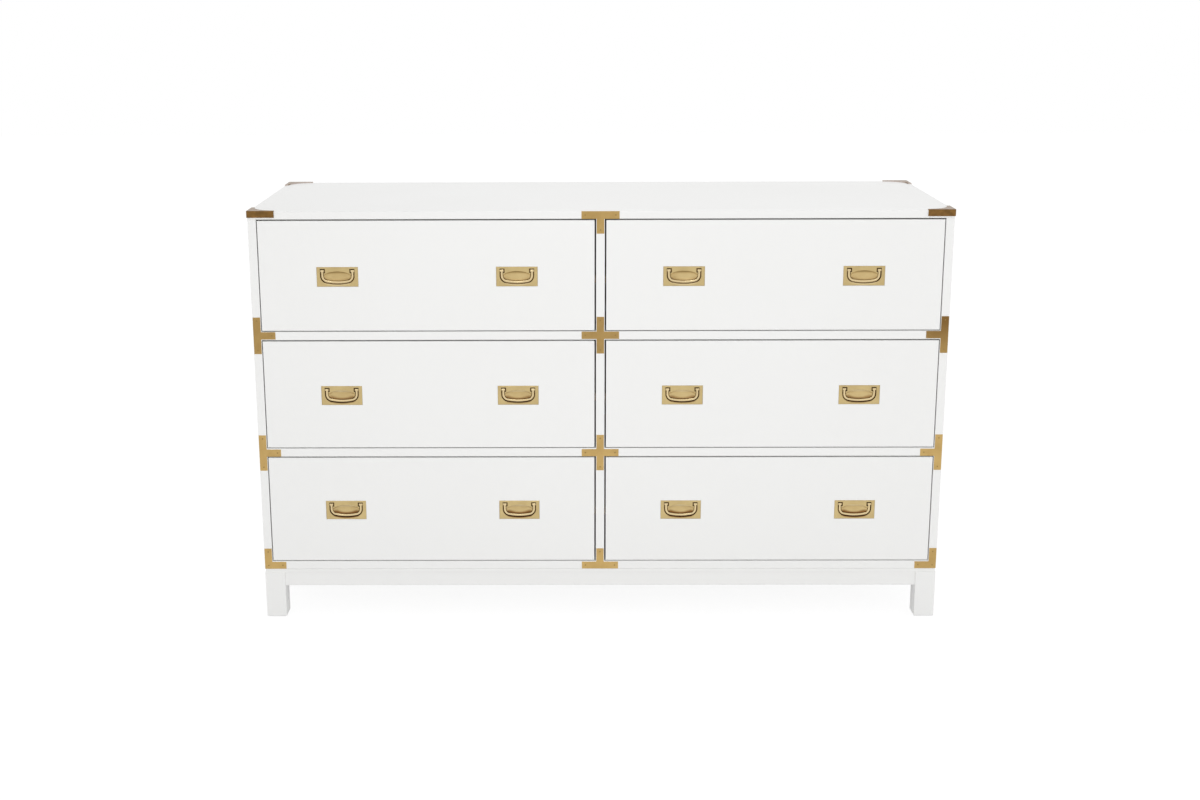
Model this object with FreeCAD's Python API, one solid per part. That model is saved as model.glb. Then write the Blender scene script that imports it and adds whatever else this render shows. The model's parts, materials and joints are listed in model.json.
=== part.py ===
import FreeCAD, Part
import math
import os

# A campaign chest: six inset drawers in a lacquered case on a low legged base, with brass straps
# let into the front, brass caps on the top's corners and two flush bail pulls on every drawer.
# Millimetres.  +X is the chest's right as seen from the front, the front faces -Y, the floor is z = 0.

# ---------------------------------------------------------------- wooden case
CASE_WIDTH = 1522.0
CASE_DEPTH = 528.0
PANEL = 18.0                 # side panels
INNER_PANEL = 19.0           # partition and bottom
TOP_THICKNESS = 17.0
RAIL_THICKNESS = 19.0        # front rails between the drawers
RAIL_DEPTH = 70.0
BACK_THICKNESS = 6.0
BACK_LAP = 9.0               # how far the back panel laps over each side
EDGE_EASE = 1.0              # rounding of every edge that a hand can reach
SEAM_EASE = 1.6              # rounding above and below the seams at the case's top and foot
ROW_NAMES = ("bottom", "middle", "top")
RAIL_NAMES = ("lower", "upper")      # each under the row above the one before
OPENING_HEIGHT = 247.0       # clear height for one row of drawers

# ---------------------------------------------------------------- base
LEG_SIDE = 45.0
LEG_LENGTH = 107.0
LEG_EASE = 1.5               # rounding of a leg's upright edges
FOOT_EASE = 2.5              # rounding of a leg's lower edges
GLIDE_HEIGHT = 2.0
GLIDE_RADIUS = 12.0
DECK_THICKNESS = 8.0
DECK_SETBACK = 1.5           # deck's edge behind the legs' outer faces
APRON_HEIGHT = 33.0
APRON_THICKNESS = 20.0
APRON_SETBACK = 4.0          # apron's face behind the legs' outer faces
GLUE_BLOCK_SIDE = 25.0
GLUE_BLOCK_LENGTH = 80.0
GLUE_BLOCK_OFFSET = 420.0    # middle of the chest to the middle of each long apron's blocks

# ---------------------------------------------------------------- drawers
REVEAL_ABOVE = 2.8           # gap between a drawer front and the rail or top above it
REVEAL_BELOW = 2.0           # between a front and what it stands over
REVEAL_OUTER = 2.0           # between a front and the side panel
REVEAL_INNER = 3.2           # between a front and the partition
FRONT_THICKNESS = 18.0
BOX_LIFT = 12.0              # box's lower edge above the opening's floor
BOX_TOP_GAP = 36.0           # box's upper edge below the top of the opening
BOX_BACK_GAP = 30.0          # end of the box before the back panel
BOX_SIDE_GAP = 6.0           # between a drawer side and the case beside it
BOX_SIDE_THICKNESS = 15.0
BOX_BACK_THICKNESS = 15.0
BOX_BOTTOM_THICKNESS = 6.0
BOX_BOTTOM_RISE = 10.0       # underside of the bottom above the box's lower edge
BOTTOM_GROOVE = 6.0          # depth of the groove that holds the bottom
BOTTOM_PLAY = 0.3            # bottom's edge short of the end of its groove
RUNNER_HEIGHT = 16.0
RUNNER_GROOVE = 7.0          # depth of the groove in the drawer side
RUNNER_PLAY = 0.3            # above and below the runner in its groove
RUNNER_SIDE_PLAY = 0.5       # between the runner and the bottom of its groove
RUNNER_FRONT_GAP = 4.0       # runner's end behind the drawer front
RUNNER_BACK_GAP = 5.0        # runner's end before the back panel
STOP_LENGTH = 40.0
STOP_DEPTH = 20.0
STOP_HEIGHT = 8.0
STOP_INSET = 90.0            # opening's side to the middle of the drawer stop
STOP_PLAY = 0.3              # between the stop and the back of a closed front

# ---------------------------------------------------------------- brass straps
STRAP_THICKNESS = 1.5
STRAP_PROUD = 0.3            # the strap's face in front of the wood
STRAP_WIDTH = 16.5
LOWER_STRAP_RISE = -1.0      # middle of the lower rail to the middle of its straps
UPPER_STRAP_RISE = 0.6       # the same on the upper rail
CROSS_REACH = 41.0           # middle of a strap to the end of a through arm
ARM_REACH = 49.0             # member's outer edge to the end of a single arm
PIN_INSET = 8.0              # arm's end to the pin
PIN_HEAD_RADIUS = 1.6
PIN_HEAD_HEIGHT = 0.4
PIN_SHANK_RADIUS = 0.8
PIN_SHANK_LENGTH = 12.0

# ---------------------------------------------------------------- corner caps
CAP_REACH = 57.5             # wood's corner to the end of each arm
CAP_DROP = 12.6              # how far the cap comes down the top's edge
CAP_PROUD = 2.0              # cap's upright faces outside the top's edge
CAP_TOP_PROUD = 2.2          # cap's plate above the top
CAP_LET_IN = 0.5
CAP_ARM_WIDTH = 6.0          # width of the top plate at the end of its arms
CAP_CORNER_EASE = 3.0
CAP_EDGE_EASE = 1.2

# ---------------------------------------------------------------- flush pulls
PULL_SPREAD = 195.0          # middle of a drawer to the middle of each pull
PULL_DROP = 1.7              # plate's middle below the drawer front's middle
PLATE_WIDTH = 90.0
PLATE_HEIGHT = 43.0
PLATE_THICKNESS = 2.0
PLATE_PROUD = 0.3
PLATE_CHAMFER = 0.6
PLATE_SIDE_RIM = 3.5         # plate's end to the casting behind it
PLATE_TOP_RIM = 2.5          # plate's upper and lower edges to the casting
DISH_DEPTH = 9.5             # plate's face to the back of the casting
MORTISE_PLAY = 0.2           # round the plate and the casting in the drawer front
PIVOT_DROP = 9.0             # plate's top edge to the bail's axis
PIVOT_DEPTH = 2.3            # plate's face to the bail's axis
BAIL_END_WALL = 1.3          # casting left beyond the end of each trunnion
BAIL_RADIUS = 2.8
BAIL_LEG = 10.6              # straight part of each leg
BAIL_CORNER_RADIUS = 12.0
BAIL_CORNER_TURN = 78.0      # degrees; the bow in the middle makes up the rest
KNUCKLE_RADIUS = 3.1
KNUCKLE_LENGTH = 7.0
TRUNNION_RADIUS = 1.3
TRUNNION_DEPTH = 2.6         # how far a trunnion enters the pocket's wall
TRUNNION_CLEARANCE = 0.08
POCKET_OUTER = 4.8           # bail's middle line to the pocket's outer edge
POCKET_INNER = 3.4           # bail's middle line to the pocket's inner edge
POCKET_DEPTH = 5.8
NOTCH_RISE = 5.1             # bail's axis to the top of the pocket
NOTCH_FALL = 4.5             # bail's axis to the foot of the notch's inner step
NOTCH_INNER = 6.3            # leg's middle to the notch's inner side
WELL_HALF_WIDTH = 30.0
WELL_HALF_HEIGHT = 11.2
WELL_DEPTH = 7.0
WELL_DROP = 11.7             # bail's axis to the middle of the finger well

TOUCH = 0.001                # two values this close are the same place
X_AXIS = FreeCAD.Vector(1, 0, 0)
Y_AXIS = FreeCAD.Vector(0, 1, 0)
Z_AXIS = FreeCAD.Vector(0, 0, 1)

# ---------------------------------------------------------------- places that follow from the sizes
SIDE_X = CASE_WIDTH / 2
FRONT_Y = -CASE_DEPTH / 2
BACK_Y = CASE_DEPTH / 2
BACK_PANEL_Y = BACK_Y - BACK_THICKNESS
LEG_TOP_Z = GLIDE_HEIGHT + LEG_LENGTH
CASE_Z = LEG_TOP_Z + DECK_THICKNESS
FIRST_OPENING_Z = CASE_Z + INNER_PANEL
ROW_PITCH = OPENING_HEIGHT + RAIL_THICKNESS
CASE_TOP_Z = FIRST_OPENING_Z + len(ROW_NAMES) * ROW_PITCH - RAIL_THICKNESS
TOP_Z = CASE_TOP_Z + TOP_THICKNESS
OPENING_WIDTH = (CASE_WIDTH - 2 * PANEL - INNER_PANEL) / 2
OPENING_X = {"left": -(INNER_PANEL + OPENING_WIDTH) / 2, "right": (INNER_PANEL + OPENING_WIDTH) / 2}
BOX_Y = FRONT_Y + FRONT_THICKNESS
BOX_HALF_WIDTH = OPENING_WIDTH / 2 - BOX_SIDE_GAP
BOX_DEPTH = BACK_PANEL_Y - BOX_BACK_GAP - BOX_Y
BOX_HEIGHT = OPENING_HEIGHT - BOX_LIFT - BOX_TOP_GAP
RUNNER_RISE = (BOX_HEIGHT - RUNNER_HEIGHT) / 2       # underside of the runner above the box's lower edge
RUNNER_WIDTH = BOX_SIDE_GAP + RUNNER_GROOVE - RUNNER_SIDE_PLAY
STRAP_Y = FRONT_Y - STRAP_PROUD
STRAP_MARGIN = (PANEL - STRAP_WIDTH) / 2             # wood left between a strap and a side panel's edge


def block(x_low, x_high, y_low, y_high, z_low, z_high):
    """A box between two opposite corners."""
    corner = FreeCAD.Vector(x_low, y_low, z_low)
    return Part.makeBox(x_high - x_low, y_high - y_low, z_high - z_low, corner)


def lies_at(edge, axis, place):
    """Whether an edge lies wholly in the plane across one axis (0, 1 or 2) at a place."""
    box = edge.BoundBox
    low = (box.XMin, box.YMin, box.ZMin)[axis]
    high = (box.XMax, box.YMax, box.ZMax)[axis]
    return abs(low - place) < TOUCH and abs(high - place) < TOUCH


def ease(shape, radius, planes):
    """Round the edges that lie in all of the given (axis, place) planes."""
    edges = [edge for edge in shape.Edges if all(lies_at(edge, *plane) for plane in planes)]
    return shape.makeFillet(radius, edges)


def upright_cylinder(x, y, z_low, z_high, radius):
    """A cylinder that stands on its end."""
    return Part.makeCylinder(radius, z_high - z_low, FreeCAD.Vector(x, y, z_low), Z_AXIS)


def cut_all(shape, tools):
    """The shape with every tool that reaches into it cut away."""
    near = [tool for tool in tools if tool.BoundBox.intersect(shape.BoundBox)]
    return shape.cut(near) if near else shape


# ---------------------------------------------------------------- brass straps and their pins
def strap_bar(x_low, x_high, z_low, z_high):
    """One straight arm of a strap, let into the front of the case."""
    return block(x_low, x_high, STRAP_Y, STRAP_Y + STRAP_THICKNESS, z_low, z_high)


def strap(bars):
    """Bars joined into one flat plate."""
    plate = bars[0].fuse(bars[1:])
    return plate.removeSplitter().Solids[0]


def pin(x, z):
    """An escutcheon pin with its head on the strap."""
    head = Part.makeCylinder(PIN_HEAD_RADIUS, PIN_HEAD_HEIGHT, FreeCAD.Vector(x, STRAP_Y, z), -Y_AXIS)
    head = ease(head, PIN_HEAD_HEIGHT / 2, [(1, STRAP_Y - PIN_HEAD_HEIGHT)])
    shank = Part.makeCylinder(PIN_SHANK_RADIUS, PIN_SHANK_LENGTH, FreeCAD.Vector(x, STRAP_Y, z), Y_AXIS)
    return head.fuse(shank).removeSplitter().Solids[0]


def middle_strap(z, half_height, up, down):
    """A cross or tee on the partition: a bar across it at z, and a stem reaching up and down."""
    half = STRAP_WIDTH / 2
    across = strap_bar(-CROSS_REACH, CROSS_REACH, z - half_height, z + half_height)
    stem = strap_bar(-half, half, z - down, z + up)
    pins = [pin(side * (CROSS_REACH - PIN_INSET), z) for side in (-1, 1)]
    pins += [pin(0, z + way * (reach - PIN_INSET)) for way, reach in ((1, up), (-1, down)) if reach > half]
    return strap([across, stem]), pins


def side_strap(side, z, up, down):
    """A tee or an ell on a case side: an upright bar, and an arm reaching inwards along a rail."""
    half = STRAP_WIDTH / 2
    middle = SIDE_X - STRAP_MARGIN - half
    arm_end = SIDE_X - ARM_REACH
    upright = strap_bar(*sorted((side * (middle - half), side * (middle + half))), z - down, z + up)
    arm = strap_bar(*sorted((side * arm_end, side * middle)), z - half, z + half)
    pins = [pin(side * (arm_end + PIN_INSET), z)]
    pins += [pin(side * middle, z + way * (reach - PIN_INSET)) for way, reach in ((1, up), (-1, down))]
    return strap([upright, arm]), pins


def make_straps():
    """All the straps by node name, and all the pins."""
    half = STRAP_WIDTH / 2
    edge = STRAP_MARGIN + half
    rises = (LOWER_STRAP_RISE, UPPER_STRAP_RISE)
    rail_levels = [FIRST_OPENING_Z + row * ROW_PITCH - RAIL_THICKNESS / 2 + rise
                   for row, rise in enumerate(rises, start=1)]
    names = ("top_tee", "centre_crosses", "bottom_tee", "side_tees", "bottom_corner_ells")
    straps = {name: [] for name in names}
    pins = []

    def keep(name, made):
        straps[name].append(made[0])
        pins.extend(made[1])

    top_middle = (CASE_TOP_Z + TOP_Z) / 2
    keep("top_tee", middle_strap(top_middle, half, half, ARM_REACH - TOP_Z + top_middle))
    keep("bottom_tee", middle_strap(CASE_Z + edge, half, ARM_REACH - edge, half))
    for level in rail_levels:
        keep("centre_crosses", middle_strap(level, half, CROSS_REACH, CROSS_REACH))
        for side in (-1, 1):
            keep("side_tees", side_strap(side, level, CROSS_REACH, CROSS_REACH))
    for side in (-1, 1):
        keep("bottom_corner_ells", side_strap(side, CASE_Z + edge, ARM_REACH - edge, half))
    straps = {name: [plate.cut(pins) for plate in plates] for name, plates in straps.items()}
    return straps, pins


# ---------------------------------------------------------------- corner caps
def corner_cap(side, end):
    """The three-sided cap on one corner of the top; side is -1 or 1 along X, end along Y."""
    plate_z = TOP_Z + CAP_TOP_PROUD
    outer = block(-CAP_PROUD, CAP_REACH, -CAP_PROUD, CAP_REACH, TOP_Z - CAP_DROP, plate_z)
    outer = ease(outer, CAP_CORNER_EASE, [(0, -CAP_PROUD), (1, -CAP_PROUD)])
    top_edges = [edge for edge in outer.Edges if lies_at(edge, 2, plate_z)]
    end_edges = [edge for edge in top_edges if lies_at(edge, 0, CAP_REACH) or lies_at(edge, 1, CAP_REACH)]
    outer = outer.makeFillet(CAP_EDGE_EASE, [edge for edge in top_edges if edge not in end_edges])
    wood = block(CAP_LET_IN, 2 * CAP_REACH, CAP_LET_IN, 2 * CAP_REACH, 0, TOP_Z - CAP_LET_IN)
    hollow = upright_cylinder(CAP_REACH, CAP_REACH, 0, 2 * TOP_Z, CAP_REACH - CAP_ARM_WIDTH)
    cap = outer.cut([wood, hollow]).Solids[0]
    if side > 0:
        cap = cap.mirror(FreeCAD.Vector(0, 0, 0), X_AXIS)
    if end > 0:
        cap = cap.mirror(FreeCAD.Vector(0, 0, 0), Y_AXIS)
    cap.translate(FreeCAD.Vector(side * SIDE_X, end * BACK_Y, 0))
    return cap


def make_caps():
    """The four caps."""
    return [corner_cap(side, end) for end in (-1, 1) for side in (-1, 1)]


# ---------------------------------------------------------------- case
def make_top(cutters):
    """The top panel, with eased edges, let in for the caps and the top tee."""
    top = block(-SIDE_X, SIDE_X, FRONT_Y, BACK_Y, CASE_TOP_Z, TOP_Z)
    top = ease(top, EDGE_EASE, [(2, TOP_Z)])
    top = ease(top, SEAM_EASE, [(2, CASE_TOP_Z)])
    return cut_all(top, cutters)


def make_side(side, cutters):
    """A side panel with a rebate for the back panel."""
    inner = SIDE_X - PANEL
    panel = block(*sorted((side * inner, side * SIDE_X)), FRONT_Y, BACK_Y, CASE_Z, CASE_TOP_Z)
    panel = ease(panel, EDGE_EASE, [(0, side * SIDE_X), (1, FRONT_Y)])
    panel = ease(panel, EDGE_EASE, [(0, side * inner), (1, FRONT_Y)])
    for level in (CASE_Z, CASE_TOP_Z):
        panel = ease(panel, SEAM_EASE, [(1, FRONT_Y), (2, level)])
    lapped = sorted((side * inner, side * (inner + BACK_LAP)))
    rebate = block(*lapped, BACK_PANEL_Y, BACK_Y, CASE_Z, CASE_TOP_Z)
    return cut_all(panel.cut(rebate), cutters)


def make_partition(cutters):
    """The upright between the two columns of drawers."""
    half = INNER_PANEL / 2
    panel = block(-half, half, FRONT_Y, BACK_PANEL_Y, FIRST_OPENING_Z, CASE_TOP_Z)
    for side in (-1, 1):
        panel = ease(panel, EDGE_EASE, [(0, side * half), (1, FRONT_Y)])
    return cut_all(panel, cutters)


def make_bottom(cutters):
    """The case bottom, between the sides."""
    inner = SIDE_X - PANEL
    panel = block(-inner, inner, FRONT_Y, BACK_PANEL_Y, CASE_Z, FIRST_OPENING_Z)
    panel = ease(panel, EDGE_EASE, [(1, FRONT_Y), (2, FIRST_OPENING_Z)])
    panel = ease(panel, SEAM_EASE, [(1, FRONT_Y), (2, CASE_Z)])
    return cut_all(panel, cutters)


def make_back():
    """The thin back panel, lapped over the sides, the partition and the bottom."""
    half = SIDE_X - PANEL + BACK_LAP
    return block(-half, half, BACK_PANEL_Y, BACK_Y, CASE_Z, CASE_TOP_Z)


def make_rail(column, row, cutters):
    """The front rail under a row, in one column."""
    top = FIRST_OPENING_Z + row * ROW_PITCH
    bottom = top - RAIL_THICKNESS
    middle = OPENING_X[column]
    half = OPENING_WIDTH / 2
    rail = block(middle - half, middle + half, FRONT_Y, FRONT_Y + RAIL_DEPTH, bottom, top)
    for level in (bottom, top):
        rail = ease(rail, EDGE_EASE, [(1, FRONT_Y), (2, level)])
    return cut_all(rail, cutters)


def make_runners():
    """The hardwood battens that the drawers hang on, two in each opening."""
    runners = []
    for middle in OPENING_X.values():
        for row in range(len(ROW_NAMES)):
            low = FIRST_OPENING_Z + row * ROW_PITCH + BOX_LIFT + RUNNER_RISE
            for side in (-1, 1):
                wall = middle + side * OPENING_WIDTH / 2
                ends = sorted((wall, wall - side * RUNNER_WIDTH))
                runners.append(block(*ends, BOX_Y + RUNNER_FRONT_GAP, BACK_PANEL_Y - RUNNER_BACK_GAP,
                                     low, low + RUNNER_HEIGHT))
    return runners


def make_stops():
    """The small blocks behind each drawer front that stop it flush with the case."""
    stops = []
    for middle in OPENING_X.values():
        for row in range(len(ROW_NAMES)):
            floor = FIRST_OPENING_Z + row * ROW_PITCH
            for side in (-1, 1):
                place = middle + side * (OPENING_WIDTH / 2 - STOP_INSET)
                stops.append(block(place - STOP_LENGTH / 2, place + STOP_LENGTH / 2,
                                   BOX_Y + STOP_PLAY, BOX_Y + STOP_PLAY + STOP_DEPTH,
                                   floor, floor + STOP_HEIGHT))
    return stops


# ---------------------------------------------------------------- base
def make_leg(side, end):
    """A square leg with eased upright edges and a rounded foot."""
    outer_x = side * SIDE_X
    outer_y = end * BACK_Y
    inner_x = outer_x - side * LEG_SIDE
    inner_y = outer_y - end * LEG_SIDE
    leg = block(*sorted((inner_x, outer_x)), *sorted((inner_y, outer_y)), GLIDE_HEIGHT, LEG_TOP_Z)
    for x in (inner_x, outer_x):
        for y in (inner_y, outer_y):
            leg = ease(leg, LEG_EASE, [(0, x), (1, y)])
    return ease(leg, FOOT_EASE, [(2, GLIDE_HEIGHT)])


def make_glides():
    """A flat glide under the middle of each leg."""
    inset = LEG_SIDE / 2
    return [upright_cylinder(side * (SIDE_X - inset), end * (BACK_Y - inset), 0, GLIDE_HEIGHT, GLIDE_RADIUS)
            for end in (-1, 1) for side in (-1, 1)]


def make_deck():
    """The thin board that joins the legs and aprons to the case."""
    x = SIDE_X - DECK_SETBACK
    y = BACK_Y - DECK_SETBACK
    return ease(block(-x, x, -y, y, LEG_TOP_Z, CASE_Z), SEAM_EASE, [(2, CASE_Z)])


def make_long_apron(end):
    """The apron between two legs along the front or the back."""
    half = SIDE_X - LEG_SIDE
    outer = end * (BACK_Y - APRON_SETBACK)
    inner = outer - end * APRON_THICKNESS
    apron = block(-half, half, *sorted((inner, outer)), LEG_TOP_Z - APRON_HEIGHT, LEG_TOP_Z)
    return ease(apron, EDGE_EASE, [(1, outer), (2, LEG_TOP_Z - APRON_HEIGHT)])


def make_short_apron(side):
    """The apron between two legs along one side."""
    half = BACK_Y - LEG_SIDE
    outer = side * (SIDE_X - APRON_SETBACK)
    inner = outer - side * APRON_THICKNESS
    apron = block(*sorted((inner, outer)), -half, half, LEG_TOP_Z - APRON_HEIGHT, LEG_TOP_Z)
    return ease(apron, EDGE_EASE, [(0, outer), (2, LEG_TOP_Z - APRON_HEIGHT)])


def make_glue_blocks():
    """Three-cornered blocks in the angle between the long aprons and the deck."""
    blocks = []
    for end in (-1, 1):
        face = end * (BACK_Y - APRON_SETBACK - APRON_THICKNESS)
        corners = [FreeCAD.Vector(0, face, LEG_TOP_Z),
                   FreeCAD.Vector(0, face - end * GLUE_BLOCK_SIDE, LEG_TOP_Z),
                   FreeCAD.Vector(0, face, LEG_TOP_Z - GLUE_BLOCK_SIDE)]
        outline = Part.Face(Part.makePolygon(corners + corners[:1]))
        for place in (-GLUE_BLOCK_OFFSET, 0, GLUE_BLOCK_OFFSET):
            prism = outline.extrude(X_AXIS * GLUE_BLOCK_LENGTH)
            prism.translate(X_AXIS * (place - GLUE_BLOCK_LENGTH / 2))
            blocks.append(prism)
    return blocks


# ---------------------------------------------------------------- flush pulls
# A pull is worked out about its own pivot: x from the middle of the bail, y from the bail's axis, z from it.
DISH_WIDTH = PLATE_WIDTH - 2 * PLATE_SIDE_RIM
DISH_HEIGHT = PLATE_HEIGHT - 2 * PLATE_TOP_RIM
BAIL_HALF_SPAN = DISH_WIDTH / 2 - BAIL_END_WALL - TRUNNION_DEPTH - POCKET_OUTER
PLATE_Y = -PIVOT_DEPTH
PLATE_TOP = PIVOT_DROP
PLATE_MIDDLE = PLATE_TOP - PLATE_HEIGHT / 2


def flat_point(x, z):
    """A point in the bail's own plane."""
    return FreeCAD.Vector(x, 0, z)


def bail_curve(offset, start):
    """The bail's line, moved outwards by an offset, from one leg's start height round to the other's."""
    turn = math.radians(BAIL_CORNER_TURN)
    half = BAIL_HALF_SPAN + offset
    corner_x = BAIL_HALF_SPAN - BAIL_CORNER_RADIUS
    corner_radius = BAIL_CORNER_RADIUS + offset
    bow_radius = (corner_x + BAIL_CORNER_RADIUS * math.cos(turn)) / math.cos(turn) + offset
    bow_z = -BAIL_LEG + (bow_radius - corner_radius) * math.sin(turn)

    def corner(side, angle):
        return flat_point(side * (corner_x + corner_radius * math.cos(angle)),
                          -BAIL_LEG - corner_radius * math.sin(angle))

    left_leg = Part.LineSegment(flat_point(-half, start), corner(-1, 0))
    left_corner = Part.Arc(corner(-1, 0), corner(-1, turn / 2), corner(-1, turn))
    bow = Part.Arc(corner(-1, turn), flat_point(0, bow_z - bow_radius), corner(1, turn))
    right_corner = Part.Arc(corner(1, turn), corner(1, turn / 2), corner(1, 0))
    right_leg = Part.LineSegment(corner(1, 0), flat_point(half, start))
    return [piece.toShape() for piece in (left_leg, left_corner, bow, right_corner, right_leg)]


def make_bail():
    """A round rod bent to a shallow D, with a knuckle and a trunnion at the top of each leg."""
    path = Part.Wire(bail_curve(0, 0))
    section = Part.Wire(Part.makeCircle(BAIL_RADIUS, flat_point(-BAIL_HALF_SPAN, 0), Z_AXIS))
    rod = path.makePipeShell([section], True, False)
    ends = []
    for side in (-1, 1):
        outwards = X_AXIS * side
        knuckle_start = flat_point(side * (BAIL_HALF_SPAN - KNUCKLE_LENGTH / 2), 0)
        knuckle = Part.makeCylinder(KNUCKLE_RADIUS, KNUCKLE_LENGTH, knuckle_start, outwards)
        leg_middle = flat_point(side * BAIL_HALF_SPAN, 0)
        trunnion = Part.makeCylinder(TRUNNION_RADIUS, POCKET_OUTER + TRUNNION_DEPTH, leg_middle, outwards)
        ends += [knuckle, trunnion]
    return rod.fuse(ends).removeSplitter().Solids[0]


def pocket():
    """The space cut for the bail: a band that follows it, with a wider notch at each knuckle."""
    outer = bail_curve(POCKET_OUTER, NOTCH_RISE)
    inner = bail_curve(-POCKET_INNER, NOTCH_RISE)
    ends = []
    for side in (-1, 1):
        outer_end = flat_point(side * (BAIL_HALF_SPAN + POCKET_OUTER), NOTCH_RISE)
        inner_end = flat_point(side * (BAIL_HALF_SPAN - POCKET_INNER), NOTCH_RISE)
        ends.append(Part.LineSegment(outer_end, inner_end).toShape())
    outline = Part.Wire(Part.__sortEdges__(outer + inner + ends))
    band = Part.Face(outline).extrude(Y_AXIS * POCKET_DEPTH)
    band.translate(Y_AXIS * PLATE_Y)
    cutters = [band]
    for side in (-1, 1):
        x_ends = sorted((side * (BAIL_HALF_SPAN - NOTCH_INNER), side * (BAIL_HALF_SPAN + POCKET_OUTER)))
        cutters.append(block(*x_ends, PLATE_Y, PLATE_Y + POCKET_DEPTH, -NOTCH_FALL, NOTCH_RISE))
    return cutters


def finger_well():
    """The smooth scoop behind the bail."""
    stretch = FreeCAD.Matrix()
    stretch.scale(WELL_HALF_WIDTH, WELL_DEPTH, WELL_HALF_HEIGHT)
    scoop = Part.makeSphere(1.0, flat_point(0, 0), Y_AXIS).transformGeometry(stretch)
    scoop.translate(FreeCAD.Vector(0, PLATE_Y, -WELL_DROP))
    return scoop


def centred_block(width, height, y_low, y_high):
    """A box as wide and high as given, about the plate's middle."""
    return block(-width / 2, width / 2, y_low, y_high, PLATE_MIDDLE - height / 2, PLATE_MIDDLE + height / 2)


def make_plate():
    """The cast plate: a thin flange with a dish behind it, a pocket for the bail and a finger well."""
    flange = centred_block(PLATE_WIDTH, PLATE_HEIGHT, PLATE_Y, PLATE_Y + PLATE_THICKNESS)
    front_edges = [edge for edge in flange.Edges if lies_at(edge, 1, PLATE_Y)]
    flange = flange.makeChamfer(PLATE_CHAMFER, front_edges)
    dish = centred_block(DISH_WIDTH, DISH_HEIGHT, PLATE_Y + PLATE_THICKNESS, PLATE_Y + DISH_DEPTH)
    plate = flange.fuse(dish)
    bores = []
    for side in (-1, 1):
        start = flat_point(side * BAIL_HALF_SPAN, 0)
        reach = POCKET_OUTER + TRUNNION_DEPTH + TRUNNION_CLEARANCE
        bores.append(Part.makeCylinder(TRUNNION_RADIUS + TRUNNION_CLEARANCE, reach, start, X_AXIS * side))
    return plate.cut(pocket() + [finger_well()] + bores).removeSplitter().Solids[0]


def mortise():
    """The two-step recess in a drawer front that takes one plate."""
    face = PLATE_Y + PLATE_PROUD
    seat = centred_block(PLATE_WIDTH + 2 * MORTISE_PLAY, PLATE_HEIGHT + 2 * MORTISE_PLAY,
                         face, PLATE_Y + PLATE_THICKNESS)
    deep = centred_block(DISH_WIDTH + 2 * MORTISE_PLAY, DISH_HEIGHT + 2 * MORTISE_PLAY,
                         face, PLATE_Y + DISH_DEPTH + MORTISE_PLAY)
    return seat.fuse(deep).removeSplitter().Solids[0]


def pull_places(column, row):
    """Where the two pull pivots of a drawer lie."""
    middle_z = FIRST_OPENING_Z + row * ROW_PITCH + OPENING_HEIGHT / 2 - PULL_DROP
    place_y = FRONT_Y - PLATE_PROUD + PIVOT_DEPTH
    return {name: FreeCAD.Vector(OPENING_X[column] + side * PULL_SPREAD, place_y, middle_z - PLATE_MIDDLE)
            for name, side in (("left", -1), ("right", 1))}


def placed(shape, place):
    """A copy of the shape, moved to a place."""
    copy = shape.copy()
    copy.translate(place)
    return copy


# ---------------------------------------------------------------- drawers
def make_front(column, row, mortise_tool):
    """A drawer front with eased edges, two mortises, and a groove for the drawer bottom."""
    low = FIRST_OPENING_Z + row * ROW_PITCH
    middle = OPENING_X[column]
    side = math.copysign(1, middle)
    outer_x = middle + side * (OPENING_WIDTH / 2 - REVEAL_OUTER)
    inner_x = middle - side * (OPENING_WIDTH / 2 - REVEAL_INNER)
    front = block(*sorted((inner_x, outer_x)), FRONT_Y, BOX_Y,
                  low + REVEAL_BELOW, low + OPENING_HEIGHT - REVEAL_ABOVE)
    front = ease(front, EDGE_EASE, [(1, FRONT_Y)])
    groove_z = low + BOX_LIFT + BOX_BOTTOM_RISE
    inside = BOX_HALF_WIDTH - BOX_SIDE_THICKNESS + BOTTOM_GROOVE
    groove = block(middle - inside, middle + inside, BOX_Y - BOTTOM_GROOVE, BOX_Y,
                   groove_z, groove_z + BOX_BOTTOM_THICKNESS)
    mortises = [placed(mortise_tool, place) for place in pull_places(column, row).values()]
    return front.cut([groove] + mortises)


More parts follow.
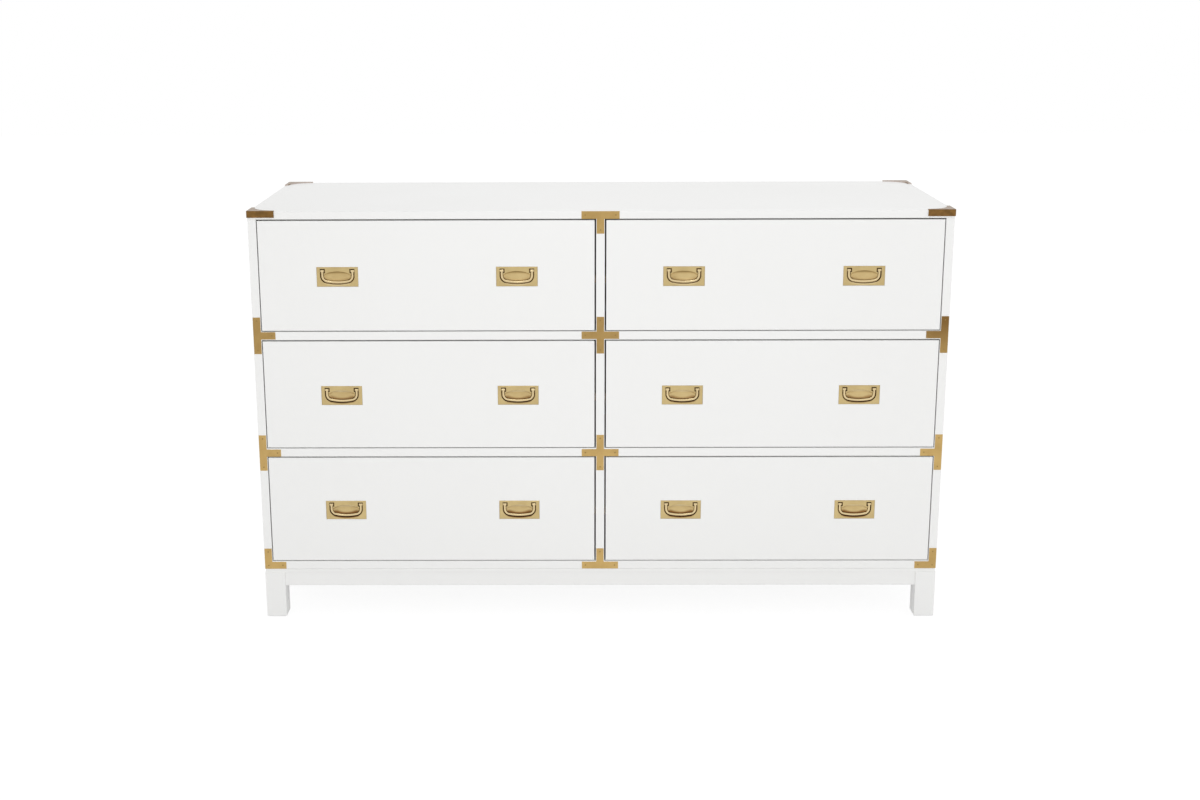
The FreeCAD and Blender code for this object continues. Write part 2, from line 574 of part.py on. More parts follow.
def make_box(column, row):
    """A drawer's two grooved sides, its back and its thin bottom, as separate boards."""
    low = FIRST_OPENING_Z + row * ROW_PITCH + BOX_LIFT
    high = low + BOX_HEIGHT
    middle = OPENING_X[column]
    end_y = BOX_Y + BOX_DEPTH
    inner = BOX_HALF_WIDTH - BOX_SIDE_THICKNESS
    bottom_low = low + BOX_BOTTOM_RISE
    bottom_high = bottom_low + BOX_BOTTOM_THICKNESS
    boards = []
    for side in (-1, 1):
        outer_x = middle + side * BOX_HALF_WIDTH
        inner_x = middle + side * inner
        board = block(*sorted((inner_x, outer_x)), BOX_Y, end_y, low, high)
        board = ease(board, EDGE_EASE, [(0, inner_x), (2, high)])
        board = ease(board, EDGE_EASE, [(0, outer_x), (2, high)])
        runner_low = low + RUNNER_RISE - RUNNER_PLAY
        runner_groove = block(*sorted((outer_x, outer_x - side * RUNNER_GROOVE)), BOX_Y, end_y,
                              runner_low, runner_low + RUNNER_HEIGHT + 2 * RUNNER_PLAY)
        bottom_groove = block(*sorted((inner_x, inner_x + side * BOTTOM_GROOVE)), BOX_Y, end_y,
                              bottom_low, bottom_high)
        boards.append(board.cut([runner_groove, bottom_groove]))
    back = block(middle - inner, middle + inner, end_y - BOX_BACK_THICKNESS, end_y, bottom_high, high)
    boards.append(ease(back, EDGE_EASE, [(1, end_y - BOX_BACK_THICKNESS), (2, high)]))
    reach = inner + BOTTOM_GROOVE - BOTTOM_PLAY
    boards.append(block(middle - reach, middle + reach, BOX_Y - BOTTOM_GROOVE + BOTTOM_PLAY, end_y,
                        bottom_low, bottom_high))
    return boards


def add_drawers(nodes):
    """Every drawer's front, box, plates and bails."""
    plate = make_plate()
    bail = make_bail()
    mortise_tool = mortise()
    for row, row_name in enumerate(ROW_NAMES):
        for column in OPENING_X:
            name = row_name + "_" + column
            places = pull_places(column, row)
            nodes[name + "_drawer_front"] = [make_front(column, row, mortise_tool)]
            nodes[name + "_drawer_box"] = make_box(column, row)
            nodes[name + "_pull_plates"] = [placed(plate, place) for place in places.values()]
            for hand, place in places.items():
                nodes[name + "_" + hand + "_bail"] = [placed(bail, place)]


def add_case(nodes):
    """The case, its brass and what is fixed inside it."""
    straps, pins = make_straps()
    caps = make_caps()
    let_in = pins + [plate for plates in straps.values() for plate in plates]
    nodes["top_panel"] = [make_top(let_in + caps)]
    nodes["left_side_panel"] = [make_side(-1, let_in)]
    nodes["right_side_panel"] = [make_side(1, let_in)]
    nodes["centre_partition"] = [make_partition(let_in)]
    nodes["bottom_panel"] = [make_bottom(let_in)]
    nodes["back_panel"] = [make_back()]
    for row, level_name in enumerate(RAIL_NAMES, start=1):
        for column in OPENING_X:
            nodes[level_name + "_" + column + "_rail"] = [make_rail(column, row, let_in)]
    nodes["drawer_runners"] = make_runners()
    nodes["drawer_stops"] = make_stops()
    nodes["top_corner_caps"] = caps
    nodes["strap_pins"] = pins
    nodes.update(straps)


def add_base(nodes):
    """The deck, aprons, legs, glides and glue blocks."""
    nodes["base_deck"] = [make_deck()]
    nodes["front_apron"] = [make_long_apron(-1)]
    nodes["back_apron"] = [make_long_apron(1)]
    nodes["left_apron"] = [make_short_apron(-1)]
    nodes["right_apron"] = [make_short_apron(1)]
    for end_name, end in (("front", -1), ("back", 1)):
        for side_name, side in (("left", -1), ("right", 1)):
            nodes[end_name + "_" + side_name + "_leg"] = [make_leg(side, end)]
    nodes["floor_glides"] = make_glides()
    nodes["glue_blocks"] = make_glue_blocks()


def main():
    nodes = {}
    add_case(nodes)
    add_base(nodes)
    add_drawers(nodes)
    os.makedirs("parts", exist_ok=True)
    for name, solids in nodes.items():
        shape = solids[0] if len(solids) == 1 else Part.makeCompound(solids)
        shape.exportStep("parts/" + name + ".step")
        print(name, len(shape.Solids), shape.isValid(), round(shape.Volume / 1000, 2), "cm3")


main()
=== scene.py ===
import json
import math

import bmesh
import bpy
from bpy.props import FloatProperty, FloatVectorProperty, IntProperty, PointerProperty
from mathutils import Matrix, Vector

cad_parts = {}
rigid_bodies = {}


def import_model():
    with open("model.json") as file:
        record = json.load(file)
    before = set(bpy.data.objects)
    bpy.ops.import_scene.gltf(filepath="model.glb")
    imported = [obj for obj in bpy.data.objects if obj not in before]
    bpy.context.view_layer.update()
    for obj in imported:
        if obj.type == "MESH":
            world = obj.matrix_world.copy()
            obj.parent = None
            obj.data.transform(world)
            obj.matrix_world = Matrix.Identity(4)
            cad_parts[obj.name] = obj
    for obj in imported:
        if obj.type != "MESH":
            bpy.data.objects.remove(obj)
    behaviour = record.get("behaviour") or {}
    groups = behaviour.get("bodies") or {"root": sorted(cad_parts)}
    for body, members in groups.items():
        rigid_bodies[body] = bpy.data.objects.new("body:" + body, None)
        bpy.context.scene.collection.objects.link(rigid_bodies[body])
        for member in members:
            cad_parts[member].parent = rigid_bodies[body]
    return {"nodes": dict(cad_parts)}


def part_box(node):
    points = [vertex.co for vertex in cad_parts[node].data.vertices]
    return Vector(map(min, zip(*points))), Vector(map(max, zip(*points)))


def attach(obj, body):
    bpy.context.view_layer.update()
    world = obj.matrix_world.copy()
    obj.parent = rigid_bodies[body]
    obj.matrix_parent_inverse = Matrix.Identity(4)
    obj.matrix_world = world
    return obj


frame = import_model()

bl_info = {
    "name": "Campaign Chest Finish",
    "version": (1, 0, 0),
    "blender": (4, 5, 0),
    "location": "View3D > Sidebar > Chest",
    "description": "Lacquer, antique brass, timber, screws and a studio for a campaign chest",
    "category": "Object",
}

# Metres.  +X is the chest's right as seen from the front, the front faces -Y, the floor is z = 0.
MM = 0.001
ROWS = ("bottom", "middle", "top")
COLUMNS = HANDS = ("left", "right")
DRAWERS = [row + "_" + column for row in ROWS for column in COLUMNS]

CASE_NODES = ("top_panel", "left_side_panel", "right_side_panel", "centre_partition", "bottom_panel",
              "lower_left_rail", "lower_right_rail", "upper_left_rail", "upper_right_rail")
BASE_NODES = ("base_deck", "front_apron", "back_apron", "left_apron", "right_apron",
              "front_left_leg", "front_right_leg", "back_left_leg", "back_right_leg")
STRAP_NODES = ("top_tee", "centre_crosses", "bottom_tee", "side_tees", "bottom_corner_ells")

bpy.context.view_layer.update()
SIDE_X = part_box("right_side_panel")[0].x  # inner face of the side panel
PARTITION_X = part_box("centre_partition")[1].x  # right face of the partition
UPPER_RAIL_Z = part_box("upper_left_rail")[1].z
ROW_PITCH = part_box("middle_left_drawer_front")[0].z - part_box("bottom_left_drawer_front")[0].z
FIRST_ROW_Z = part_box("bottom_panel")[1].z
DRAWER_X = sum(corner.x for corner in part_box("bottom_right_drawer_box")) / 2
PULL_SPREAD = sum(corner.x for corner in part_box("bottom_right_right_bail")) / 2 - DRAWER_X
WELL_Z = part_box("bottom_right_pull_plates")[1].z - 20.7 * MM  # middle of the lowest finger wells
WELL_HALF_WIDTH = 30 * MM
WELL_HALF_HEIGHT = 11.2 * MM
BOW_RADIUS = 103 * MM  # of a bail's lower run
SIDE_BOARD = 15 * MM  # thickness of a drawer box's sides
BOTTOM_BOARD = 6 * MM  # thickness of its bottom
BOTTOM_RISE = 10 * MM  # underside of the bottom above the sides' lower edge
RUNNER_WIDTH = 12.5 * MM
HAIR = 0.1 * MM  # past a board's face, so that the face is well inside its mask


# ---------------- settings
COLOUR = {"subtype": "COLOR", "size": 3, "min": 0, "max": 1}
LENGTH = {"unit": "LENGTH", "min": 0}
POWER = {"unit": "POWER", "min": 0}


class ChestLacquer(bpy.types.PropertyGroup):
    """White lacquer on the case, the base and the drawer fronts."""

    colour: FloatVectorProperty(
        name="Colour", description="Colour of the lacquer", default=(0.855, 0.855, 0.845), **COLOUR)
    thin_colour: FloatVectorProperty(
        name="Thin colour", description="Colour where the lacquer runs thin at an edge",
        default=(0.79, 0.78, 0.75), **COLOUR)
    roughness: FloatProperty(
        name="Roughness", description="Roughness of the satin lacquer", subtype="FACTOR", min=0, max=1,
        default=0.36)
    ripple: FloatProperty(
        name="Ripple", description="Height of the ripple that spraying leaves", default=0.004 * MM,
        **LENGTH)
    edge: FloatProperty(
        name="Edge", description="Width of the thin lacquer along an edge", default=0.9 * MM, **LENGTH)


class ChestBrass(bpy.types.PropertyGroup):
    """Antique brass on the straps, the caps and the pulls."""

    strap_colour: FloatVectorProperty(
        name="Straps", description="Colour of the brushed straps", default=(0.605, 0.415, 0.160),
        **COLOUR)
    plate_colour: FloatVectorProperty(
        name="Plates", description="Colour of the pull plates", default=(0.625, 0.488, 0.238), **COLOUR)
    # Paler than the plates: partly painted light for the bails' highlights.
    bail_colour: FloatVectorProperty(
        name="Bails", description="Colour of the handled bails", default=(0.76, 0.61, 0.35), **COLOUR)
    # Darker than the other brass: painted shade that stands in for the dark reflection in the caps'
    # fronts.
    cap_colour_with_shade: FloatVectorProperty(
        name="Caps", description="Colour of the darker corner caps", default=(0.278, 0.144, 0.037),
        **COLOUR)
    # Painted reflection of the bright surroundings along the inner edge of a rear cap.
    cap_reflection_colour: FloatVectorProperty(
        name="Cap edge", description="Colour of the worn inner edge of a rear cap",
        default=(0.62, 0.54, 0.50), **COLOUR)
    cap_patina: FloatVectorProperty(
        name="Cap patina", description="Colour of the dark streaks on the caps",
        default=(0.055, 0.031, 0.010), **COLOUR)
    # Paler than the plates: painted light that stands in for a lamp's reflection in the wells.
    scoop_colour: FloatVectorProperty(
        name="Scoops", description="Colour of the finger wells", default=(0.715, 0.56, 0.285), **COLOUR)
    # Painted reflection under the upper edge of a finger well on the lower rows.
    brow_reflection_colour: FloatVectorProperty(
        name="Glow", description="Colour of a pale brow on the lower rows", default=(0.95, 0.88, 0.62),
        **COLOUR)
    # Painted shade under the upper edge of a finger well on the top row.
    painted_brow_colour: FloatVectorProperty(
        name="Brows", description="Colour under the upper edge of a finger well on the top row",
        default=(0.43, 0.32, 0.145), **COLOUR)
    # Painted shade low in a finger well, under a bail on the lower rows and along a bail's top and
    # underside.
    painted_shade_colour: FloatVectorProperty(
        name="Shades", description="Colour of the tarnish between a finger well and its bail",
        default=(0.235, 0.100, 0.024), **COLOUR)
    patina_colour: FloatVectorProperty(
        name="Patina", description="Colour of the dark patina in recesses",
        default=(0.235, 0.120, 0.035), **COLOUR)
    # Painted shade on the straps of the upper rail, more towards the chest's right.
    strap_shade_colour: FloatVectorProperty(
        name="Aged", description="Colour of the straps that have darkened most",
        default=(0.20, 0.105, 0.030), **COLOUR)
    line_pitch: FloatProperty(
        name="Brush pitch", description="Distance between brush lines", default=0.35 * MM, **LENGTH)
    line_length: FloatProperty(
        name="Brush length", description="Length of a brush line", default=25 * MM, **LENGTH)
    recess: FloatProperty(
        name="Recess", description="How far patina reaches out of a corner", default=8 * MM, **LENGTH)


class ChestTimber(bpy.types.PropertyGroup):
    """Timber of the drawer boxes, the runners and the blocks, and the painted back board."""

    drawer_light: FloatVectorProperty(
        name="Drawer wood", description="Light colour of the drawer wood", default=(0.66, 0.49, 0.30),
        **COLOUR)
    drawer_dark: FloatVectorProperty(
        name="Drawer grain", description="Dark grain of the drawer wood", default=(0.47, 0.31, 0.165),
        **COLOUR)
    runner_light: FloatVectorProperty(
        name="Runner wood", description="Light colour of the runners", default=(0.55, 0.38, 0.21),
        **COLOUR)
    runner_dark: FloatVectorProperty(
        name="Runner grain", description="Dark grain of the runners", default=(0.36, 0.22, 0.11),
        **COLOUR)
    ring_pitch: FloatProperty(
        name="Ring pitch", description="Distance between growth rings", default=7 * MM, **LENGTH)
    back_colour: FloatVectorProperty(
        name="Back board", description="Colour of the painted back board", default=(0.74, 0.735, 0.715),
        **COLOUR)


class ChestScrews(bpy.types.PropertyGroup):
    """Screws in the back board, the runners, the base and behind the pulls."""

    head_radius: FloatProperty(
        name="Head radius", description="Radius of a screw head", default=3.6 * MM, **LENGTH)
    head_height: FloatProperty(
        name="Head height", description="Height of a pan head", default=1.7 * MM, **LENGTH)
    flat_height: FloatProperty(
        name="Flat head height", description="How far a flat head stands up", default=0.25 * MM,
        **LENGTH)
    back_pitch: FloatProperty(
        name="Back pitch", description="Largest distance between screws round the back board",
        default=140 * MM, **LENGTH)
    back_inset: FloatProperty(
        name="Back inset", description="From the back board's edge to its screws", default=6 * MM,
        **LENGTH)
    turn_seed: IntProperty(
        name="Turn seed", description="Seed for how far each screw is turned", min=0, default=7)


class ChestStudio(bpy.types.PropertyGroup):
    """Floor, lamps and camera."""

    sky: FloatProperty(
        name="Sky", description="Strength of the even light from all round", min=0, default=0.775)
    key: FloatProperty(
        name="Key", description="Power of the large lamp in front", default=28.3, **POWER)
    top: FloatProperty(name="Top", description="Power of the lamp over the chest", default=7.5, **POWER)
    fill: FloatProperty(name="Fill", description="Power of the lamp on the right", default=9, **POWER)
    glint: FloatProperty(
        name="Glint", description="Power of the small high lamp that only glints on metal and lacquer",
        default=8, **POWER)
    floor_colour: FloatVectorProperty(
        name="Floor", description="Colour of the plain floor", default=(0.78, 0.78, 0.78), **COLOUR)
    floor_seen: FloatVectorProperty(
        name="Floor as seen", description="Colour that the camera sees under the floor's white lift",
        default=(0.18, 0.18, 0.18), **COLOUR)
    floor_lift: FloatProperty(
        name="Floor lift", description="How much paler the floor looks to the camera", min=0,
        default=0.895)
    lens: FloatProperty(name="Lens", description="Focal length in millimetres", min=1, default=47.729)
    shift_x: FloatProperty(
        name="Shift across", description="Sideways shift of the picture, as a share of its width",
        default=0.0285)
    shift_y: FloatProperty(
        name="Shift up", description="Upward shift of the picture, as a share of its width",
        default=-0.0195)


# ---------------- wiring
NODE_STEP = 180
COLOUR_A, COLOUR_B, COLOUR_OUT = 6, 7, 2      # places of a Mix node's sockets when it mixes colours
VECTOR_A, VECTOR_B, VECTOR_OUT = 4, 5, 1      # and when it mixes vectors


class Net:
    """Adds nodes to one tree from left to right and joins them."""

    def __init__(self, tree):
        self.tree = tree

    def add(self, kind, **settings):
        """A new node with its settings."""
        node = self.tree.nodes.new(kind)
        node.location = (len(self.tree.nodes) * NODE_STEP, 0)
        for name, value in settings.items():
            setattr(node, name, value)
        return node

    def feed(self, socket, value):
        """Give a socket a link or a plain value."""
        if isinstance(value, bpy.types.NodeSocket):
            self.tree.links.new(value, socket)
        else:
            socket.default_value = value

    def fill(self, node, **values):
        """Feed several named sockets of a node, with _ for each space."""
        for name, value in values.items():
            self.feed(node.inputs[name.replace("_", " ")], value)
        return node

    def feed_all(self, node, *values):
        """Feed a node's sockets in their own order."""
        for socket, value in zip(node.inputs, values):
            self.feed(socket, value)
        return node

    def math(self, operation, *values):
        """The result of one Math node."""
        return self.feed_all(self.add("ShaderNodeMath", operation=operation), *values).outputs[0]

    def times(self, value, *others):
        """The product of the values."""
        for other in others:
            value = self.math("MULTIPLY", value, other)
        return value

    def plus(self, value, *others):
        """The sum of the values."""
        for other in others:
            value = self.math("ADD", value, other)
        return value

    def minus(self, value, other):
        """The first value less the second."""
        return self.math("SUBTRACT", value, other)

    def over(self, value, other):
        """The first value divided by the second."""
        return self.math("DIVIDE", value, other)

    def apart(self, value, middle):
        """How far a value is from a middle, either way."""
        return self.math("ABSOLUTE", self.minus(value, middle))

    def ramp(self, value, low, high, to_low=0.0, to_high=1.0):
        """The value carried from one range to another, with a smooth step."""
        node = self.add("ShaderNodeMapRange", interpolation_type="SMOOTHSTEP")
        self.fill(node, Value=value, From_Min=low, From_Max=high, To_Min=to_low, To_Max=to_high)
        return node.outputs["Result"]

    def blend(self, share, first, second):
        """Two colours mixed by a share from 0 to 1."""
        node = self.add("ShaderNodeMix", data_type="RGBA")
        self.feed(node.inputs[0], share)
        self.feed(node.inputs[COLOUR_A], opaque(first))
        self.feed(node.inputs[COLOUR_B], opaque(second))
        return node.outputs[COLOUR_OUT]

    def either(self, share, first, second):
        """Two vectors mixed by a share from 0 to 1."""
        node = self.add("ShaderNodeMix", data_type="VECTOR")
        self.feed(node.inputs[0], share)
        self.feed(node.inputs[VECTOR_A], first)
        self.feed(node.inputs[VECTOR_B], second)
        return node.outputs[VECTOR_OUT]

    def vector(self, x, y, z):
        """A vector from three values."""
        return self.fill(self.add("ShaderNodeCombineXYZ"), X=x, Y=y, Z=z).outputs[0]

    def stretched(self, parts, *scales):
        """A vector of three values, each times its own scale."""
        return self.vector(*[self.times(part, scale) for part, scale in zip(parts, scales)])

    def split(self, vector):
        """The x, y and z of a vector."""
        return self.feed_all(self.add("ShaderNodeSeparateXYZ"), vector).outputs

    def here(self):
        """The point's own place, which stays with the piece when it moves."""
        return self.add("ShaderNodeTexCoord").outputs["Object"]

    def place(self):
        """The x, y and z of the point's own place."""
        return self.split(self.here())

    def facing(self):
        """The x, y and z of the way that the surface faces."""
        return self.split(self.add("ShaderNodeTexCoord").outputs["Normal"])

    def noise(self, vector, scale, detail, roughness):
        """Smooth noise from 0 to 1."""
        node = self.add("ShaderNodeTexNoise")
        self.fill(node, Vector=vector, Scale=scale, Detail=detail, Roughness=roughness)
        return node.outputs[0]

    def group(self, name, **values):
        """The outputs of a shader node group, built at its first use, with this finish's own values."""
        tree = bpy.data.node_groups.get(name) or GROUPS[name]()
        return self.fill(self.add("ShaderNodeGroup", node_tree=tree), **values).outputs

    def seen(self):
        """1 for what is seen, in a mirror too, and 0 for what lights the chest."""
        path = self.add("ShaderNodeLightPath").outputs
        return self.math("MAXIMUM", path["Is Camera Ray"], self.math(
            "MAXIMUM", path["Is Glossy Ray"], path["Is Transmission Ray"]))


def opaque(colour):
    """A colour with a full alpha, or the link as it is."""
    return colour if isinstance(colour, bpy.types.NodeSocket) else (*colour, 1.0)


def darker(colour, share):
    """A colour times a share."""
    return tuple(part * share for part in colour)


def new_group(name, inputs, outputs):
    """A new shader node group: itself, its net, what it is given and what it puts out."""
    tree = bpy.data.node_groups.new(name, "ShaderNodeTree")
    for label, kind, value in inputs:
        socket = tree.interface.new_socket(label, in_out="INPUT", socket_type="NodeSocket" + kind)
        if value is not None:
            socket.default_value = value
    for label, kind in outputs:
        tree.interface.new_socket(label, in_out="OUTPUT", socket_type="NodeSocket" + kind)
    net = Net(tree)
    return tree, net, net.add("NodeGroupInput").outputs, net.add("NodeGroupOutput").inputs


def patches_group():
    """Slow cloudy variation, such as uneven patina or polish."""
    tree, net, given, out = new_group(
        "Cloudy Patches", [("Size", "Float", 0.1), ("Sharpness", "Float", 0.5)], [("Patches", "Float")])
    soft_half, hard_half = 0.35, 0.02     # half of the range that a patch's edge takes up in the noise
    cloud = net.noise(net.here(), net.over(1.0, given["Size"]), 4.0, 0.6)
    half = net.plus(net.times(net.minus(1.0, given["Sharpness"]), soft_half), hard_half)
    net.feed(out["Patches"], net.ramp(cloud, net.minus(0.5, half), net.plus(0.5, half)))
    return tree


def brushed_group():
    """Fine brush lines: upright on upright members, and level elsewhere."""
    tree, net, given, out = new_group(
        "Brush Lines",
        [("Pitch", "Float", 0.3 * MM), ("Length", "Float", 20 * MM), ("Upright", "Float", 0.0)],
        [("Lines", "Float")])
    place = net.place()
    fine = net.over(1.0, given["Pitch"])
    long = net.over(1.0, given["Length"])
    level = net.stretched(place, long, fine, fine)
    upright = net.stretched(place, fine, fine, long)
    lines = net.noise(net.either(given["Upright"], level, upright), 1.0, 3.0, 0.65)
    net.feed(out["Lines"], net.ramp(lines, 0.3, 0.7))
    return tree


def ripple_group():
    """The shallow ripple that spraying leaves in lacquer."""
    tree, net, given, out = new_group(
        "Spray Ripple", [("Size", "Float", 1.5 * MM)], [("Height", "Float")])
    per_metre = net.over(1.0, given["Size"])
    net.feed(out["Height"], net.noise(net.here(), per_metre, 1.0, 0.4))
    return tree


def grain_group():
    """Board grain: growth rings about an axis along the board, with fine fibres and pores."""
    tree, net, given, out = new_group(
        "Board Grain",
        [("Vector", "Vector", None), ("Ring Pitch", "Float", 7 * MM),
         ("Light", "Color", None), ("Dark", "Color", None)],
        [("Color", "Color"), ("Fibres", "Float")])
    board = net.split(given["Vector"])
    _, across, up = board
    heart_away, sway_reach = 55 * MM, 90 * MM     # from the tree's heart, and the rings' sway
    slow = net.stretched(board, 1.6, 9.0, 9.0)
    sway = net.times(net.minus(net.noise(slow, 1.0, 3.0, 0.5), 0.5), sway_reach)
    from_heart = net.plus(across, heart_away)
    radius = net.math("SQRT", net.plus(net.times(from_heart, from_heart), net.times(up, up)))
    turns = net.over(net.plus(radius, sway), given["Ring Pitch"])
    late = net.ramp(net.math("FRACT", turns), 0.25, 1.0)
    fibres = net.noise(net.stretched(board, 18.0, 900.0, 900.0), 1.0, 3.0, 0.6)
    fibres = net.ramp(fibres, 0.35, 0.7)
    pores = net.noise(net.stretched(board, 70.0, 1600.0, 1600.0), 1.0, 1.0, 0.5)
    pores = net.ramp(pores, 0.62, 0.72)
    dark = net.plus(net.times(late, 0.55), net.times(fibres, 0.3), net.times(pores, 0.25))
    net.feed(out["Color"], net.blend(dark, given["Light"], given["Dark"]))
    net.feed(out["Fibres"], net.plus(fibres, net.times(pores, -0.6)))
    return tree


GROUPS = {"Cloudy Patches": patches_group, "Brush Lines": brushed_group, "Spray Ripple": ripple_group,
          "Board Grain": grain_group}


def empty_net(owner):
    """The emptied node tree of a material or a world."""
    owner.use_nodes = True
    owner.node_tree.nodes.clear()
    return Net(owner.node_tree)


def start_material(name):
    """A new node material: itself, its net and its Principled shader."""
    material = bpy.data.materials.new(name)
    net = empty_net(material)
    shader = net.add("ShaderNodeBsdfPrincipled")
    net.fill(net.add("ShaderNodeOutputMaterial"), Surface=shader.outputs[0])
    return material, net, shader


def raise_surface(net, shader, height, depth):
    """A bump of a real height."""
    bump = net.fill(net.add("ShaderNodeBump"), Height=height, Distance=depth, Strength=1.0)
    net.feed(shader.inputs["Normal"], bump.outputs[0])


def edge_share(net, width):
    """How near an outer edge is, from 0 on a flat face to 1 on the edge."""
    rounded = net.fill(net.add("ShaderNodeBevel", samples=4), Radius=width)
    flat = net.add("ShaderNodeNewGeometry").outputs["True Normal"]
    agree = net.add("ShaderNodeVectorMath", operation="DOT_PRODUCT")
    net.feed_all(agree, rounded.outputs[0], flat)
    return net.ramp(agree.outputs["Value"], 0.995, 0.86)


# ---------------- finishes
def make_lacquer(settings):
    """Sprayed satin lacquer that thins at the edges."""
    material, net, shader = start_material("white_satin_lacquer")
    edge_thin, cloud_thin, rough_swing = 0.45, 0.10, 0.06
    patches = net.group("Cloudy Patches", Size=350 * MM, Sharpness=0.2)["Patches"]
    thin = net.math("MAXIMUM", net.times(edge_share(net, settings.edge), edge_thin),
                    net.times(patches, cloud_thin))
    rough = net.plus(net.times(patches, rough_swing), settings.roughness - rough_swing / 2)
    net.fill(shader, Base_Color=net.blend(thin, settings.colour, settings.thin_colour),
             Roughness=rough, Coat_Weight=0.15, Coat_Roughness=0.2, IOR=1.5)
    ripple = net.group("Spray Ripple", Size=1.6 * MM)["Height"]
    raise_surface(net, shader, ripple, settings.ripple)
    return material


def upright_share(net):
    """1 where a strap runs up a side or the partition, and 0 where it runs along a rail."""
    sideways = net.math("ABSOLUTE", net.place()["X"])
    on_middle = net.math("LESS_THAN", sideways, PARTITION_X)
    on_side = net.math("GREATER_THAN", sideways, SIDE_X)
    return net.math("MAXIMUM", on_middle, on_side)


def painted_strap_shade(net):
    """Painted shade on the straps: most on the upper rail, and more towards the chest's right."""
    x, _, z = net.place()
    everywhere = 0.37
    above_rail = net.minus(z, UPPER_RAIL_Z)
    nearby = net.times(net.ramp(above_rail, -220 * MM, -60 * MM),
                       net.ramp(above_rail, 80 * MM, 200 * MM, 1.0, 0.39))
    to_right = net.ramp(x, 300 * MM, SIDE_X)
    right_tee = net.times(to_right, net.ramp(above_rail, -45 * MM, 25 * MM, 0.08, 0.53))
    right_ell = net.times(to_right, net.ramp(z, 250 * MM, 200 * MM, 0.0, 0.16))
    return net.plus(net.times(nearby, net.plus(right_tee, everywhere)), right_ell)


def rows_up(net, z):
    """How many rows up a height is: 0, 1 or 2 in the middle of a finger well."""
    return net.over(net.minus(z, WELL_Z), ROW_PITCH)


def pull_shares(net):
    """Masks on a plate: well, painted shade low in it, painted brow light and shade, painted band under
    the bail, lower rows, top row.
    """
    x, _, z = net.place()
    sideways = net.apart(net.apart(net.math("ABSOLUTE", x), DRAWER_X), PULL_SPREAD)
    upwards = net.math("WRAP", net.minus(z, WELL_Z), ROW_PITCH / 2, -ROW_PITCH / 2)
    row = rows_up(net, z)
    lower_rows = net.ramp(row, 1.25, 1.75, 1.0, 0.0)
    top_row = net.ramp(row, 1.0, 1.9)
    # The well, where 1 is its rim.
    across = net.over(sideways, WELL_HALF_WIDTH)
    height = net.over(upwards, WELL_HALF_HEIGHT)
    outward = net.plus(net.times(across, across), net.times(height, height))
    well = net.ramp(outward, 1.12, 0.86)
    # Brow: the mask of the painted reflection and shade under a well's upper edge.
    brow = net.times(well, net.ramp(height, 0.34, 0.88))
    # Painted shade low in the well, just above the bail, strongest on the lower rows.
    low = net.times(net.ramp(outward, 0.2, 0.72), net.ramp(outward, 1.5, 1.2),
                    net.ramp(height, 0.05, -0.55), net.ramp(row, 0.3, 2.1, 1.0, 0.2))
    # The painted shadow band under the bail, pale painted light on the top row, follows its bow.
    bow = net.over(net.times(sideways, sideways), 2 * BOW_RADIUS)
    below = net.minus(bow, upwards)
    under = net.times(net.ramp(below, 15 * MM, 16.5 * MM), net.ramp(below, 20.6 * MM, 19 * MM),
                      net.ramp(sideways, 32 * MM, 23 * MM), net.ramp(row, 0.2, 0.9, 0.85, 0.5))
    return well, low, brow, under, lower_rows, top_row


def painted_cap_reflection(net):
    """Mask of the painted reflection on the edge that faces the top on each rear cap."""
    _, y, _ = net.place()
    _, faces_back, _ = net.facing()
    return net.times(net.ramp(y, 0.0, 50 * MM), net.ramp(faces_back, -0.1, -0.6, 0.0, 0.9))


def painted_bail_shade(net):
    """Mask of painted shade and reflection along the top and the underside of a bail, faint on the top
    row.
    """
    _, _, z = net.place()
    _, _, faces_up = net.facing()
    sides = net.math("MAXIMUM", net.ramp(faces_up, -0.4, -0.9), net.ramp(faces_up, 0.72, 0.92))
    return net.times(sides, net.ramp(rows_up(net, z), 1.25, 1.75, 0.8, 0.1))


# How far each part of the brass takes on its colour, from 0 to 1: worn edges with a painted highlight,
# patina in recesses, the wells' painted light, the painted reflection and shade under a brow, and the
# painted shade low in a well.
WORN_EDGE_AND_HIGHLIGHT, IN_RECESS, IN_WELL, BROW_LIGHT_AND_SHADE, WELL_SHADE = 0.55, 0.9, 0.8, 0.8, 0.92
# How much rougher it is in a cloudy patch, on a brush line, in a recess and in a finger well.
PATCH_ROUGH, LINE_ROUGH, RECESS_ROUGH, WELL_ROUGH = 0.12, 0.08, 0.3, 0.22


